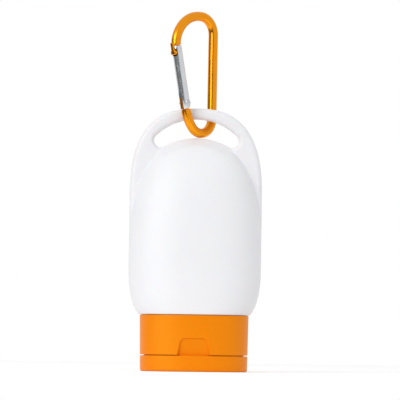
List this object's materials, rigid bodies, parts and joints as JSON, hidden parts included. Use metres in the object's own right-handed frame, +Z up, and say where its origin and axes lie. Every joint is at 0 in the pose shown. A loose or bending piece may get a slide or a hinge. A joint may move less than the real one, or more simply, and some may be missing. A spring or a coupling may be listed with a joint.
{
  "type": "squeeze bottle with flip-top cap",
  "caption": "Oval squeeze bottle that stands on a flip-top cap, with a flat slotted hanging tab and a small snap hook clipped through the slot.",
  "frame": {"origin": "centre of the lid's flat outer face, which the bottle stands on", "axes": "+Z up the bottle towards the hook, -Y to the front with the thumb recess, +X to the right seen from the front"},
  "size_m": [0.053, 0.03, 0.1439],
  "materials": {
    "bottle": "satin white polyethylene",
    "liner": "foam",
    "cap": "satin orange polypropylene",
    "hook": "orange anodised, polished",
    "gate": "polished",
    "rivet": "satin",
    "spring": "satin"
  },
  "bodies": {
    "bottle": {"bottle_body": "bottle", "neck_liner": "liner", "cap_base": "cap", "hinge_film": "cap", "hinge_strap_left": "cap", "hinge_strap_right": "cap"},
    "lid": {"flip_lid": "cap"},
    "hook": {"hook_body": "hook"},
    "gate": {"gate": "gate", "gate_rivet": "rivet", "gate_spring": "spring"},
    "plunger": {"gate_plunger": "spring"}
  },
  "joints": [
    {"name": "lid_flip", "type": "hinge", "parent": "bottle", "child": "lid", "pos_m": [0, 0.01355, 0.0064], "axis": [1, 0, 0], "range_deg": [0, 170]},
    {"name": "hook_swing", "type": "hinge", "parent": "bottle", "child": "hook", "pos_m": [0, 0, 0.1025], "axis": [1, 0, 0], "range_deg": [-120, 120]},
    {"name": "gate_swing", "type": "hinge", "parent": "hook", "child": "gate", "pos_m": [-0.0048, -0.00523, 0.10671], "axis": [-0.682, 0.7314, 0], "range_deg": [0, 26], "stiffness_Nm_per_rad": 0.005, "springref_deg": -17.19},
    {"name": "plunger_slide", "type": "slide", "parent": "gate", "child": "plunger", "axis": [-0.1581, -0.1474, 0.9764], "range_m": [0, 0.00040841], "deforming": ["gate_spring"]}
  ],
  "couplings": [
    {"joint": "gate_swing", "follows": "plunger_slide", "rad_per_m": 1111.1}
  ]
}
